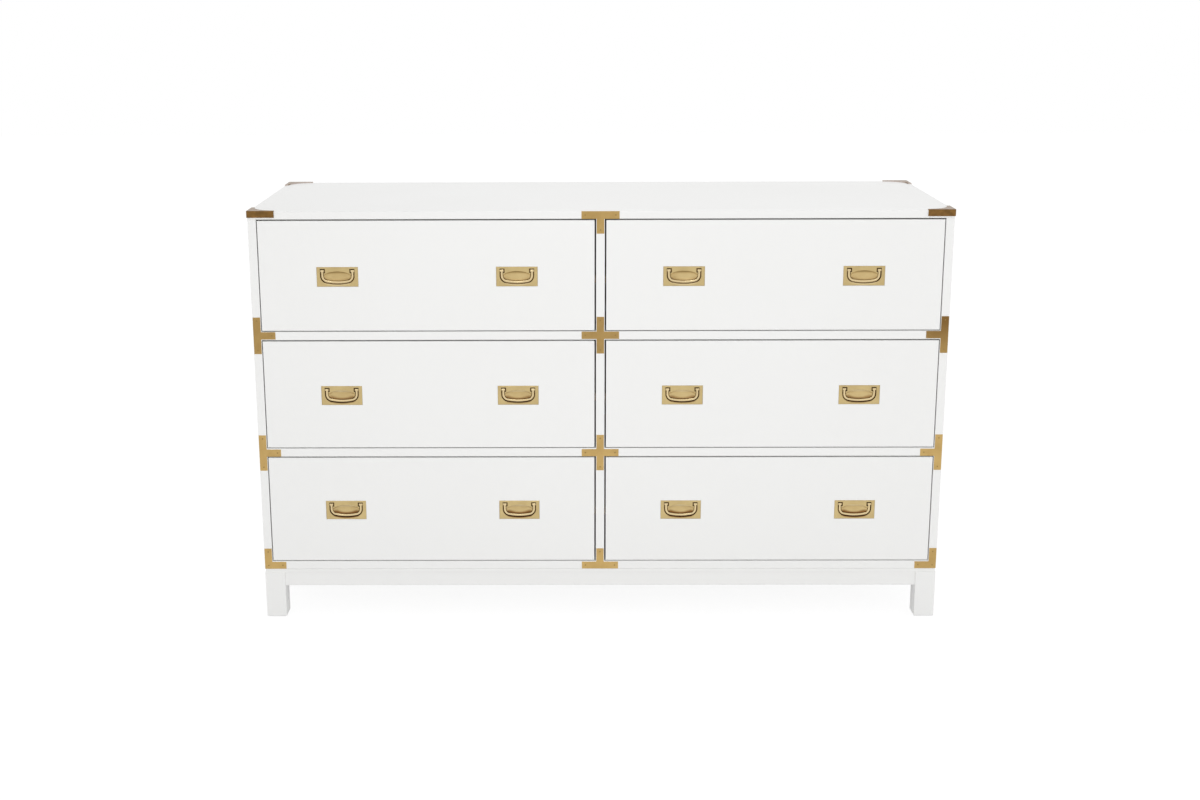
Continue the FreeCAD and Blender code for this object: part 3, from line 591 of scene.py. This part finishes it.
def make_brass(name, settings, colour, dullness, polish, patina=None, patch=30 * MM, coat=0.0,
               on_straps=False, on_plates=False, on_bails=False, on_caps=False):
    """Brushed brass with dark patina in its recesses, bright worn edges with a painted highlight, and
    painted light and shade on the caps, plates and bails.
    """
    material, net, shader = start_material(name)
    line_share, line_height, bright_edge_width = 0.6, 0.006 * MM, 0.5 * MM
    patina = patina or settings.patina_colour
    bright = tuple(min(1.0, part * 1.35) for part in colour)
    lines = net.group("Brush Lines", Pitch=settings.line_pitch, Length=settings.line_length,
                      Upright=upright_share(net) if on_straps else 0.0)["Lines"]
    patches = net.group("Cloudy Patches", Size=patch, Sharpness=0.35)["Patches"]
    open_share = net.fill(net.add("ShaderNodeAmbientOcclusion", samples=8, only_local=True),
                          Distance=settings.recess).outputs["AO"]
    recess = net.ramp(open_share, 0.97, 0.45)
    tarnish = net.plus(net.times(patches, dullness), net.times(lines, dullness * line_share))
    body = net.blend(tarnish, colour, patina)
    if on_straps:
        # Painted shade on the upper rail's straps.
        body = net.blend(painted_strap_shade(net), body, settings.strap_shade_colour)
    if on_plates:
        well, low, brow, under, lower_rows, top_row = pull_shares(net)
        recess = net.times(recess, net.math("MULTIPLY_ADD", well, -0.75, 1.0))
        # The wells' paler colour is painted light.
        body = net.blend(net.times(well, IN_WELL), body, settings.scoop_colour)
        # Painted reflection under the brows of the lower rows and painted shade under those of the top
        # row.
        painted_brow_colour = net.blend(top_row, settings.brow_reflection_colour, settings.painted_brow_colour)
        body = net.blend(net.times(brow, BROW_LIGHT_AND_SHADE), body, painted_brow_colour)
    # Worn edges, made brighter as a painted highlight.
    finish = net.blend(net.times(edge_share(net, bright_edge_width), WORN_EDGE_AND_HIGHLIGHT), body, bright)
    finish = net.blend(net.times(recess, IN_RECESS), finish, patina)
    rough = net.plus(polish, net.times(patches, PATCH_ROUGH), net.times(lines, LINE_ROUGH),
                     net.times(recess, RECESS_ROUGH))
    metal = net.ramp(recess, 0.1, 1.0, 1.0, 0.7)
    if on_plates:
        # Painted shade low in each well; under the bail, painted shadow on the lower rows and pale
        # painted light, less metallic, on the top row.
        finish = net.blend(net.times(low, WELL_SHADE), finish, settings.painted_shade_colour)
        under_bail_light_and_shade = net.blend(lower_rows, settings.bail_colour, settings.painted_shade_colour)
        finish = net.blend(under, finish, under_bail_light_and_shade)
        rough = net.plus(rough, net.times(well, WELL_ROUGH))
        painted_light_band = net.times(under, net.minus(1.0, lower_rows))
        metal = net.times(metal, net.math("MULTIPLY_ADD", painted_light_band, -0.8, 1.0))
    if on_caps:
        # Painted reflection along the inner edge of each rear cap.
        finish = net.blend(painted_cap_reflection(net), finish, settings.cap_reflection_colour)
    if on_bails:
        # Painted shade and reflection along the top and underside of each bail.
        finish = net.blend(painted_bail_shade(net), finish, settings.painted_shade_colour)
    net.fill(shader, Base_Color=finish, Roughness=rough, Metallic=metal, Coat_Weight=coat,
             Coat_Roughness=0.12)
    raise_surface(net, shader, lines, line_height)
    return material


def lay_grain(net, shader, board, ring_pitch, light, dark, smooth, rough, depth):
    """Give a shader a board's grain, from the place along the board, across it and up."""
    grain = net.group("Board Grain", Vector=board, Ring_Pitch=ring_pitch, Light=opaque(light),
                      Dark=opaque(dark))
    net.fill(shader, Base_Color=grain["Color"],
             Roughness=net.ramp(grain["Fibres"], 0.0, 1.0, smooth, rough))
    raise_surface(net, shader, grain["Fibres"], depth)


def make_drawer_wood(settings):
    """Sealed hardwood whose grain runs along each board of a drawer box."""
    material, net, shader = start_material("drawer_hardwood")
    x, y, z = net.place()
    box_low, box_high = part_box("bottom_right_drawer_box")
    side_inner = (box_high.x - box_low.x) / 2 - SIDE_BOARD - HAIR
    bottom_upper = box_low.z - FIRST_ROW_Z + BOTTOM_RISE + BOTTOM_BOARD + HAIR
    from_middle = net.apart(net.math("ABSOLUTE", x), DRAWER_X)
    rise = net.minus(z, FIRST_ROW_Z)
    row = net.math("FLOOR", net.over(rise, ROW_PITCH))
    level = net.minus(rise, net.times(row, ROW_PITCH))
    on_side = net.math("GREATER_THAN", from_middle, side_inner)
    on_bottom = net.math("LESS_THAN", level, bottom_upper)
    along_side = net.vector(y, net.minus(from_middle, side_inner), level)
    along_back = net.vector(x, net.minus(y, box_high.y), level)
    along_bottom = net.vector(x, level, net.times(y, 0.6))
    board = net.either(on_side, net.either(on_bottom, along_back, along_bottom), along_side)
    row_shift = 13 * MM               # each row's boards are cut further up the log
    moved = net.feed_all(net.add("ShaderNodeVectorMath", operation="ADD"), board,
                         net.vector(0.0, 0.0, net.times(row, row_shift)))
    lay_grain(net, shader, moved.outputs[0], settings.ring_pitch, settings.drawer_light,
              settings.drawer_dark, smooth=0.42, rough=0.55, depth=0.03 * MM)
    return material


def make_runner_wood(settings):
    """Bare hardwood with its grain along the runner, waxed by wear."""
    material, net, shader = start_material("runner_hardwood")
    x, y, z = net.place()
    lay_grain(net, shader, net.vector(y, x, z), settings.ring_pitch, settings.runner_light,
              settings.runner_dark, smooth=0.55, rough=0.7, depth=0.05 * MM)
    return material


def make_back_paint(settings):
    """Rolled paint on thin board, with the roller's stipple and a little scuffing."""
    material, net, shader = start_material("back_board_paint")
    patches = net.group("Cloudy Patches", Size=160 * MM, Sharpness=0.3)["Patches"]
    stipple = net.group("Spray Ripple", Size=2.4 * MM)["Height"]
    scuffs = net.group("Brush Lines", Pitch=2.5 * MM, Length=90 * MM, Upright=0.0)["Lines"]
    scuffs = net.times(net.ramp(scuffs, 0.8, 1.0), patches)
    dirt = net.plus(net.times(patches, 0.25), net.times(scuffs, 0.4))
    colour = settings.back_colour
    net.fill(shader, Base_Color=net.blend(dirt, colour, darker(colour, 0.86)),
             Roughness=net.ramp(patches, 0.0, 1.0, 0.55, 0.68))
    raise_surface(net, shader, stipple, 0.03 * MM)
    return material


def make_glide_nylon():
    """Moulded pale nylon with a fine grain and a slight cloudiness."""
    material, net, shader = start_material("glide_nylon")
    pale, cloudy = (0.70, 0.69, 0.65), (0.62, 0.61, 0.57)
    patches = net.group("Cloudy Patches", Size=6 * MM, Sharpness=0.2)["Patches"]
    net.fill(shader, Base_Color=net.blend(patches, pale, cloudy),
             Roughness=net.ramp(patches, 0.0, 1.0, 0.5, 0.65))
    raise_surface(net, shader, net.group("Spray Ripple", Size=0.5 * MM)["Height"], 0.02 * MM)
    return material


def screw_steel():
    """Zinc-plated screw steel with a slight cloudiness, made once."""
    if "zinc_steel" in bpy.data.materials:
        return bpy.data.materials["zinc_steel"]
    material, net, shader = start_material("zinc_steel")
    zinc = (0.52, 0.51, 0.48)
    patches = net.group("Cloudy Patches", Size=1.5 * MM, Sharpness=0.3)["Patches"]
    net.fill(shader, Base_Color=net.blend(patches, zinc, darker(zinc, 0.7)),
             Roughness=net.ramp(patches, 0.0, 1.0, 0.28, 0.42), Metallic=1.0)
    return material


def paint(names, material):
    """Give CAD nodes a finish."""
    for name in names:
        for place in frame["nodes"][name].material_slots:
            place.material = material


# ---------------- screws
def plain_mesh(piece):
    """A piece with its modifiers turned into its mesh."""
    bpy.context.view_layer.update()
    depsgraph = bpy.context.evaluated_depsgraph_get()
    mesh = bpy.data.meshes.new_from_object(piece.evaluated_get(depsgraph))
    piece.modifiers.clear()
    piece.data = mesh
    return mesh


def screw_head(name, radius, height):
    """A domed head with a cross recess, its underside in the plane z = 0."""
    sides = 16
    profile = ((1.0, 0.0), (1.0, 0.3), (0.93, 0.62), (0.74, 0.88), (0.5, 1.0))
    slot_half, slot_reach, slot_floor = 0.12, 0.62, 0.35
    mesh = bmesh.new()
    turns = [math.tau * k / sides for k in range(sides)]
    rings = [[mesh.verts.new((radius * share * math.cos(turn), radius * share * math.sin(turn),
                              height * rise)) for turn in turns] for share, rise in profile]
    mesh.faces.new(reversed(rings[0]))
    for lower, upper in zip(rings, rings[1:]):
        for k in range(sides):
            mesh.faces.new((lower[k], lower[(k + 1) % sides], upper[(k + 1) % sides], upper[k]))
    mesh.faces.new(rings[-1])
    head = bpy.data.meshes.new(name)
    mesh.to_mesh(head)
    mesh.free()
    cross = bmesh.new()
    for reach_x, reach_y in ((slot_reach, slot_half), (slot_half, slot_reach)):
        box = bmesh.ops.create_cube(cross, size=1.0)
        bmesh.ops.scale(cross, verts=box["verts"],
                        vec=(2 * reach_x * radius, 2 * reach_y * radius, 2 * height * (1 - slot_floor)))
        bmesh.ops.translate(cross, verts=box["verts"], vec=(0, 0, height))
    cutter_mesh = bpy.data.meshes.new(name + "_cross")
    cross.to_mesh(cutter_mesh)
    cross.free()
    body = bpy.data.objects.new(name, head)
    cutter = bpy.data.objects.new(name + "_cross", cutter_mesh)
    shown = bpy.context.scene.collection.objects
    shown.link(body)
    shown.link(cutter)
    cut = body.modifiers.new("Cross recess", "BOOLEAN")
    cut.operation = "DIFFERENCE"
    cut.solver = "EXACT"
    cut.use_self = True
    cut.object = cutter
    plain_mesh(body)
    bpy.data.objects.remove(cutter)
    shown.unlink(body)
    return body


def screws_tree():
    """A geometry tree that sets a screw head on every point, facing its way and turned at random."""
    name = "Screws On Points"
    if name in bpy.data.node_groups:
        return bpy.data.node_groups[name]
    tree = bpy.data.node_groups.new(name, "GeometryNodeTree")
    for label, kind in (("Geometry", "Geometry"), ("Head", "Object"), ("Finish", "Material"),
                        ("Turn Seed", "Int")):
        tree.interface.new_socket(label, in_out="INPUT", socket_type="NodeSocket" + kind)
    tree.interface.new_socket("Geometry", in_out="OUTPUT", socket_type="NodeSocketGeometry")
    net = Net(tree)
    given = net.add("NodeGroupInput").outputs
    head = net.fill(net.add("GeometryNodeObjectInfo"), Object=given["Head"])
    facing = net.fill(net.add("GeometryNodeInputNamedAttribute", data_type="FLOAT_VECTOR"),
                      Name="facing")
    stand = net.fill(net.add("FunctionNodeAlignRotationToVector", axis="Z"),
                     Vector=facing.outputs["Attribute"])
    turn = net.add("FunctionNodeRandomValue", data_type="FLOAT")
    net.feed(turn.inputs[2], 0.0)
    net.feed(turn.inputs[3], math.tau)
    net.feed(turn.inputs["Seed"], given["Turn Seed"])
    spin = net.fill(net.add("FunctionNodeAxisAngleToRotation"), Axis=(0.0, 0.0, 1.0),
                    Angle=turn.outputs[1])
    turned = net.feed_all(net.add("FunctionNodeRotateRotation", rotation_space="LOCAL"),
                          stand.outputs[0], spin.outputs[0])
    placed = net.fill(net.add("GeometryNodeInstanceOnPoints"), Points=given["Geometry"],
                      Instance=head.outputs["Geometry"], Rotation=turned.outputs[0])
    real = net.fill(net.add("GeometryNodeRealizeInstances"), Geometry=placed.outputs[0])
    painted = net.fill(net.add("GeometryNodeSetMaterial"), Geometry=real.outputs[0],
                       Material=given["Finish"])
    net.fill(net.add("NodeGroupOutput"), Geometry=painted.outputs[0])
    return tree


def set_screws(name, body, places, head, seed):
    """Screws at (point, facing) places as one plain mesh that rides on a body."""
    points = bpy.data.meshes.new(name + "_points")
    points.from_pydata([point for point, _ in places], [], [])
    facing = points.attributes.new("facing", "FLOAT_VECTOR", "POINT")
    for item, (_, way) in zip(facing.data, places):
        item.vector = way
    piece = bpy.data.objects.new(name, points)
    bpy.context.scene.collection.objects.link(piece)
    modifier = piece.modifiers.new("Screws", "NODES")
    modifier.node_group = screws_tree()
    wanted = {"Head": head, "Finish": screw_steel(), "Turn Seed": seed}
    for socket in modifier.node_group.interface.items_tree:
        if socket.in_out == "INPUT" and socket.name in wanted:
            modifier[socket.identifier] = wanted[socket.name]
    mesh = plain_mesh(piece)
    mesh.name = name
    if not mesh.polygons:
        raise RuntimeError(name + " came out empty")
    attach(piece, body)


def spaced(low, high, pitch):
    """Places from low to high, no further apart than the pitch."""
    steps = max(1, math.ceil((high - low) / pitch))
    return [low + (high - low) * k / steps for k in range(steps + 1)]


# ---------------- operators
class CHEST_OT_lacquer(bpy.types.Operator):
    """Lacquer the case, the base and the drawer fronts"""

    bl_idname = "chest.lacquer"
    bl_label = "Lacquer"
    bl_options = {"REGISTER", "UNDO"}

    def execute(self, context):
        finish = make_lacquer(context.scene.chest_lacquer)
        paint(CASE_NODES + BASE_NODES, finish)
        paint([name + "_drawer_front" for name in DRAWERS], finish)
        return {"FINISHED"}


class CHEST_OT_straps(bpy.types.Operator):
    """Finish the brass straps and their pins"""

    bl_idname = "chest.straps"
    bl_label = "Straps and pins"
    bl_options = {"REGISTER", "UNDO"}

    def execute(self, context):
        settings = context.scene.chest_brass
        paint(STRAP_NODES, make_brass("strap_brass", settings, settings.strap_colour,
                                      dullness=0.16, polish=0.3, on_straps=True))
        paint(["strap_pins"], make_brass("pin_brass", settings, darker(settings.strap_colour, 0.6),
                                         dullness=0.3, polish=0.35))
        return {"FINISHED"}


class CHEST_OT_caps(bpy.types.Operator):
    """Finish the corner caps"""

    bl_idname = "chest.caps"
    bl_label = "Corner caps"
    bl_options = {"REGISTER", "UNDO"}

    def execute(self, context):
        settings = context.scene.chest_brass
        paint(["top_corner_caps"], make_brass("cap_brass", settings, settings.cap_colour_with_shade,
                                              dullness=0.42, polish=0.24, patina=settings.cap_patina,
                                              patch=14 * MM, coat=0.2, on_caps=True))
        return {"FINISHED"}


class CHEST_OT_pulls(bpy.types.Operator):
    """Finish the pull plates and the bails"""

    bl_idname = "chest.pulls"
    bl_label = "Pulls"
    bl_options = {"REGISTER", "UNDO"}

    def execute(self, context):
        settings = context.scene.chest_brass
        plates = make_brass("plate_brass", settings, settings.plate_colour,
                            dullness=0.14, polish=0.27, on_plates=True)
        bails = make_brass("bail_brass", settings, settings.bail_colour,
                           dullness=0.1, polish=0.2, on_bails=True)
        paint([name + "_pull_plates" for name in DRAWERS], plates)
        paint([name + "_" + hand + "_bail" for name in DRAWERS for hand in HANDS], bails)
        return {"FINISHED"}


class CHEST_OT_timber(bpy.types.Operator):
    """Finish the drawer boxes, the runners, the stops and the glue blocks"""

    bl_idname = "chest.timber"
    bl_label = "Timber"
    bl_options = {"REGISTER", "UNDO"}

    def execute(self, context):
        settings = context.scene.chest_timber
        paint([name + "_drawer_box" for name in DRAWERS], make_drawer_wood(settings))
        paint(("drawer_runners", "drawer_stops", "glue_blocks"), make_runner_wood(settings))
        return {"FINISHED"}


class CHEST_OT_back_and_glides(bpy.types.Operator):
    """Finish the back board and the floor glides"""

    bl_idname = "chest.back_and_glides"
    bl_label = "Back board and glides"
    bl_options = {"REGISTER", "UNDO"}

    def execute(self, context):
        paint(["back_panel"], make_back_paint(context.scene.chest_timber))
        paint(["floor_glides"], make_glide_nylon())
        return {"FINISHED"}


class CHEST_OT_back_screws(bpy.types.Operator):
    """Screw the back board to the sides, the partition, the top and the bottom"""

    bl_idname = "chest.back_screws"
    bl_label = "Back screws"
    bl_options = {"REGISTER", "UNDO"}

    def execute(self, context):
        settings = context.scene.chest_screws
        low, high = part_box("back_panel")
        inset = settings.back_inset
        across = spaced(low.x + inset, high.x - inset, settings.back_pitch)
        upwards = spaced(low.z + inset, high.z - inset, settings.back_pitch)
        corners = [(x, z) for x in across for z in (upwards[0], upwards[-1])]
        sides = [(x, z) for z in upwards[1:-1] for x in (across[0], across[-1])]
        middle = [(0.0, z) for z in upwards[1:-1]]
        places = [((x, high.y, z), (0, 1, 0)) for x, z in corners + sides + middle]
        head = screw_head("pan_head", settings.head_radius, settings.head_height)
        set_screws("back_screws", "case", places, head, settings.turn_seed)
        return {"FINISHED"}


class CHEST_OT_inner_screws(bpy.types.Operator):
    """Screw the runners, the base and the pulls in place"""

    bl_idname = "chest.inner_screws"
    bl_label = "Inner screws"
    bl_options = {"REGISTER", "UNDO"}

    def execute(self, context):
        settings = context.scene.chest_screws
        flat = screw_head("flat_head", settings.head_radius, settings.flat_height)
        pan = screw_head("pull_head", settings.head_radius, settings.head_height)
        self.fix_runners(flat, settings.turn_seed + 1)
        self.fix_base(flat, settings.turn_seed + 2)
        for name in DRAWERS:
            self.fix_pulls(name, pan, settings.turn_seed + 3)
        return {"FINISHED"}

    def fix_runners(self, head, seed):
        """Three flat heads along each runner, facing into the opening."""
        low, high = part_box("drawer_runners")
        box_low, box_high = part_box("bottom_right_drawer_box")
        opening, let_in = SIDE_X - PARTITION_X, high.x - SIDE_X
        reach = opening / 2 - let_in - RUNNER_WIDTH
        run_in = 60 * MM
        places = []
        for row in range(len(ROWS)):
            z = (box_low.z + box_high.z) / 2 + row * ROW_PITCH
            for y in (low.y + run_in, (low.y + high.y) / 2, high.y - run_in):
                places += [((column * DRAWER_X + side * reach, y, z), (-side, 0, 0))
                           for column in (-1, 1) for side in (-1, 1)]
        set_screws("runner_screws", "case", places, head, seed)

    def fix_base(self, head, seed):
        """Flat heads through the deck into the case bottom."""
        low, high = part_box("base_deck")
        inset, pitch = 70 * MM, 350 * MM
        places = [((x, y, low.z), (0, 0, -1)) for x in spaced(low.x + inset, high.x - inset, pitch)
                  for y in (low.y + inset, high.y - inset)]
        set_screws("base_screws", "case", places, head, seed)

    def fix_pulls(self, name, head, seed):
        """Two pan heads behind each pull plate and three under the back of the drawer bottom."""
        front_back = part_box(name + "_drawer_front")[1].y
        low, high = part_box(name + "_pull_plates")
        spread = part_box(name + "_right_bail")[0].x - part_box(name + "_left_bail")[0].x
        width = high.x - low.x - spread
        middle_z = (low.z + high.z) / 2
        plate_inset = 14 * MM
        places = [((x, front_back, middle_z), (0, 1, 0)) for start in (low.x, high.x - width)
                  for x in (start + plate_inset, start + width - plate_inset)]
        box_low, box_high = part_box(name + "_drawer_box")
        edge, end, pitch = 7 * MM, 60 * MM, 310 * MM
        places += [((x, box_high.y - edge, box_low.z + BOTTOM_RISE), (0, 0, -1))
                   for x in spaced(box_low.x + end, box_high.x - end, pitch)]
        set_screws(name + "_drawer_screws", name + "_drawer", places, head, seed)


# Place, target and size of each square lamp.
LAMPS = {
    "key": ((-0.2, -3.4, 1.5), (0, -0.1, 0.45), 2.0),
    "top": ((0.25, 0.1, 3.2), (0.25, 0.1, 0), 1.2),
    "fill": ((3.0, -2.4, 1.9), (0.2, 0, 0.45), 2.4),
    "glint": ((-0.3, -1.6, 3.4), (0, -0.2, 0.6), 0.8),
}
WHITE = (1, 1, 1, 1)


class CHEST_OT_studio(bpy.types.Operator):
    """Make the floor, the lamps, the white background and the camera"""

    bl_idname = "chest.studio"
    bl_label = "Studio"
    bl_options = {"REGISTER", "UNDO"}

    def execute(self, context):
        scene, settings = context.scene, context.scene.chest_studio
        self.make_floor(scene, settings)
        self.make_sky(scene, settings)
        for name, aim in LAMPS.items():
            lamp = self.make_lamp(scene, name + "_lamp", getattr(settings, name), *aim)
            lamp.visible_glossy = name == "glint"
            lamp.visible_diffuse = name != "glint"
        self.make_camera(scene, settings)
        scene.view_settings.view_transform = "Standard"
        return {"FINISHED"}

    def make_floor(self, scene, settings):
        """A wide plain floor that looks white to the camera and keeps the chest's shadow."""
        half = 12.0
        mesh = bpy.data.meshes.new("floor")
        mesh.from_pydata([(-half, -half, 0), (half, -half, 0), (half, half, 0), (-half, half, 0)], [],
                         [(0, 1, 2, 3)])
        floor = bpy.data.objects.new("floor", mesh)
        scene.collection.objects.link(floor)
        material = bpy.data.materials.new("pale_floor")
        net = empty_net(material)
        seen = net.seen()
        matt = net.fill(net.add("ShaderNodeBsdfDiffuse"),
                        Color=net.blend(seen, settings.floor_colour, settings.floor_seen))
        lift = net.fill(net.add("ShaderNodeEmission"), Color=WHITE,
                        Strength=net.times(seen, settings.floor_lift))
        both = net.feed_all(net.add("ShaderNodeAddShader"), matt.outputs[0], lift.outputs[0])
        net.fill(net.add("ShaderNodeOutputMaterial"), Surface=both.outputs[0])
        mesh.materials.append(material)

    def make_sky(self, scene, settings):
        """Even light from all round, and a white background."""
        world = bpy.data.worlds.new("studio")
        net = empty_net(world)
        sky = net.fill(net.add("ShaderNodeBackground"), Color=WHITE, Strength=settings.sky)
        white = net.fill(net.add("ShaderNodeBackground"), Color=WHITE, Strength=1.0)
        either = net.add("ShaderNodeMixShader")
        net.feed_all(either, net.seen(), sky.outputs[0], white.outputs[0])
        net.fill(net.add("ShaderNodeOutputWorld"), Surface=either.outputs[0])
        scene.world = world

    def make_lamp(self, scene, name, power, place, target, size):
        """A square soft lamp that faces a point."""
        lamp = bpy.data.lights.new(name, "AREA")
        lamp.size = size
        lamp.energy = power
        holder = bpy.data.objects.new(name, lamp)
        turn = (Vector(target) - Vector(place)).to_track_quat("-Z", "Y")
        holder.matrix_world = Matrix.Translation(place) @ turn.to_matrix().to_4x4()
        scene.collection.objects.link(holder)
        return holder

    def make_camera(self, scene, settings):
        """The camera, a little above the chest and in front of its middle."""
        place = Vector((-50.4 * MM, -3668.6 * MM, 1398.2 * MM))
        turn_left, look_down, lean = math.radians(0.429), math.radians(13.735), math.radians(-0.203)
        camera = bpy.data.cameras.new("camera")
        camera.sensor_width = 36.0
        camera.lens = settings.lens
        camera.shift_x = settings.shift_x
        camera.shift_y = settings.shift_y
        holder = bpy.data.objects.new("camera", camera)
        holder.matrix_world = (Matrix.Translation(place) @ Matrix.Rotation(turn_left, 4, "Z")
                               @ Matrix.Rotation(math.pi / 2 - look_down, 4, "X")
                               @ Matrix.Rotation(lean, 4, "Z"))
        scene.collection.objects.link(holder)
        scene.camera = holder


class CHEST_PT_finish(bpy.types.Panel):
    """The steps that finish the chest, and their settings"""

    bl_label = "Campaign chest"
    bl_idname = "CHEST_PT_finish"
    bl_space_type = "VIEW_3D"
    bl_region_type = "UI"
    bl_category = "Chest"

    def draw(self, context):
        for owner, _, steps in PARTS:
            box = self.layout.box()
            settings = getattr(context.scene, owner)
            for name in settings.__annotations__:
                box.prop(settings, name)
            for step in steps:
                box.operator(step.bl_idname)


PARTS = (
    ("chest_lacquer", ChestLacquer, (CHEST_OT_lacquer,)),
    ("chest_brass", ChestBrass, (CHEST_OT_straps, CHEST_OT_caps, CHEST_OT_pulls)),
    ("chest_timber", ChestTimber, (CHEST_OT_timber, CHEST_OT_back_and_glides)),
    ("chest_screws", ChestScrews, (CHEST_OT_back_screws, CHEST_OT_inner_screws)),
    ("chest_studio", ChestStudio, (CHEST_OT_studio,)),
)


def register():
    """Register the settings, the operators and the panel."""
    for owner, settings, steps in PARTS:
        bpy.utils.register_class(settings)
        setattr(bpy.types.Scene, owner, PointerProperty(type=settings))
        for step in steps:
            bpy.utils.register_class(step)
    bpy.utils.register_class(CHEST_PT_finish)


def unregister():
    """Take everything off again."""
    bpy.utils.unregister_class(CHEST_PT_finish)
    for owner, settings, steps in reversed(PARTS):
        for step in reversed(steps):
            bpy.utils.unregister_class(step)
        delattr(bpy.types.Scene, owner)
        bpy.utils.unregister_class(settings)


def main():
    """Finish the chest step by step."""
    register()
    bpy.ops.chest.lacquer()
    bpy.ops.chest.straps()
    bpy.ops.chest.caps()
    bpy.ops.chest.pulls()
    bpy.ops.chest.timber()
    bpy.ops.chest.back_and_glides()
    bpy.ops.chest.back_screws()
    bpy.ops.chest.inner_screws()
    bpy.ops.chest.studio()


if __name__ == "__main__":
    main()
